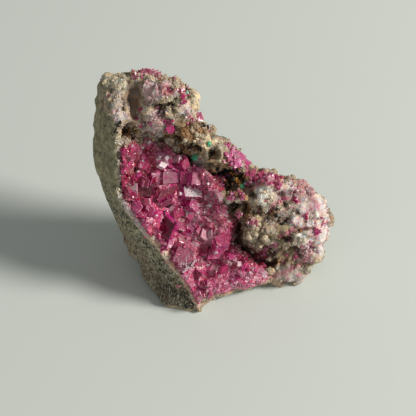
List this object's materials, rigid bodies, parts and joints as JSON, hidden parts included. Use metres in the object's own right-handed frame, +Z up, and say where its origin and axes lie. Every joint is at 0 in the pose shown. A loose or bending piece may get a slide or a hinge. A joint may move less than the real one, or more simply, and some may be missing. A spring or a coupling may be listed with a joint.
{
  "type": "cobaltocalcite specimen",
  "caption": "Hand specimen of pink cobaltoan calcite: a hollow of rhombic crystals on a leaning, L-shaped piece of tan host rock with a cut-flat base.",
  "frame": {"origin": "on the ground, under the middle of the specimen's bounding box", "axes": "+Z up, +X to the right along the rock's long side, -Y towards the viewer of the crystal face"},
  "size_m": [0.0466, 0.027, 0.0452],
  "materials": {
    "host_rock": "rough, granular, tan to grey-brown",
    "cobalt_calcite": "glassy, translucent magenta-pink crystal faces",
    "pale_calcite": "translucent, pale pink, frosted",
    "malachite": "silky green grains"
  },
  "bodies": {
    "root": {"host_rock": "host_rock", "crystal_crust": "cobalt_calcite", "rim_crystals": "cobalt_calcite", "crest_crystals": "cobalt_calcite", "pale_crystals": "pale_calcite", "lobe_crystals": "cobalt_calcite", "single_crystal_1": "cobalt_calcite", "single_crystal_2": "cobalt_calcite", "single_crystal_3": "cobalt_calcite", "single_crystal_4": "cobalt_calcite", "malachite_grain_1": "malachite", "malachite_grain_2": "malachite", "malachite_grain_3": "malachite", "malachite_grain_4": "malachite"}
  },
  "joints": []
}
